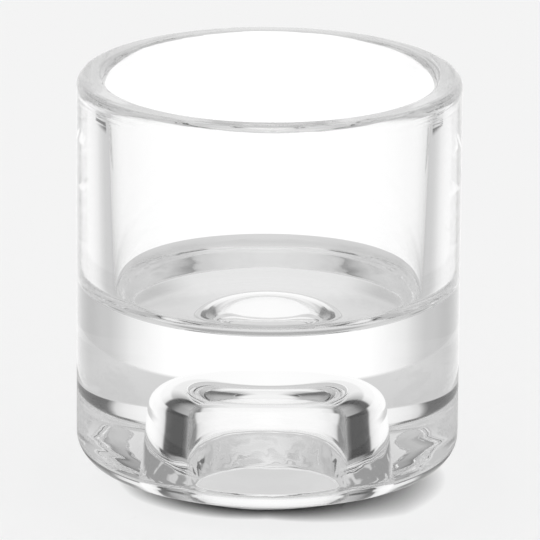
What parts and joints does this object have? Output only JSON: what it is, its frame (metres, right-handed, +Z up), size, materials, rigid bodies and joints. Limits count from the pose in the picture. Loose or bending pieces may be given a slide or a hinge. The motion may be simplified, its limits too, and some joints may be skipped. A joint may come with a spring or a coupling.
{
  "type": "candle holder",
  "caption": "Reversible round glass candle holder: a deep cup for a tealight at one end, a blind socket for a dinner candle in its thick base at the other.",
  "frame": {"origin": "centre of the foot, on the surface that the holder stands on when its cup is up", "axes": "+Z up along the axis of the body, out of the cup; X and Y are alike"},
  "size_m": [0.056, 0.056, 0.0613],
  "materials": {
    "clear_glass": "pressed clear soda-lime glass, fire polished outside, faint plunger waviness in the socket and under the foot"
  },
  "bodies": {
    "root": {"glass_body": "clear_glass"}
  },
  "joints": []
}
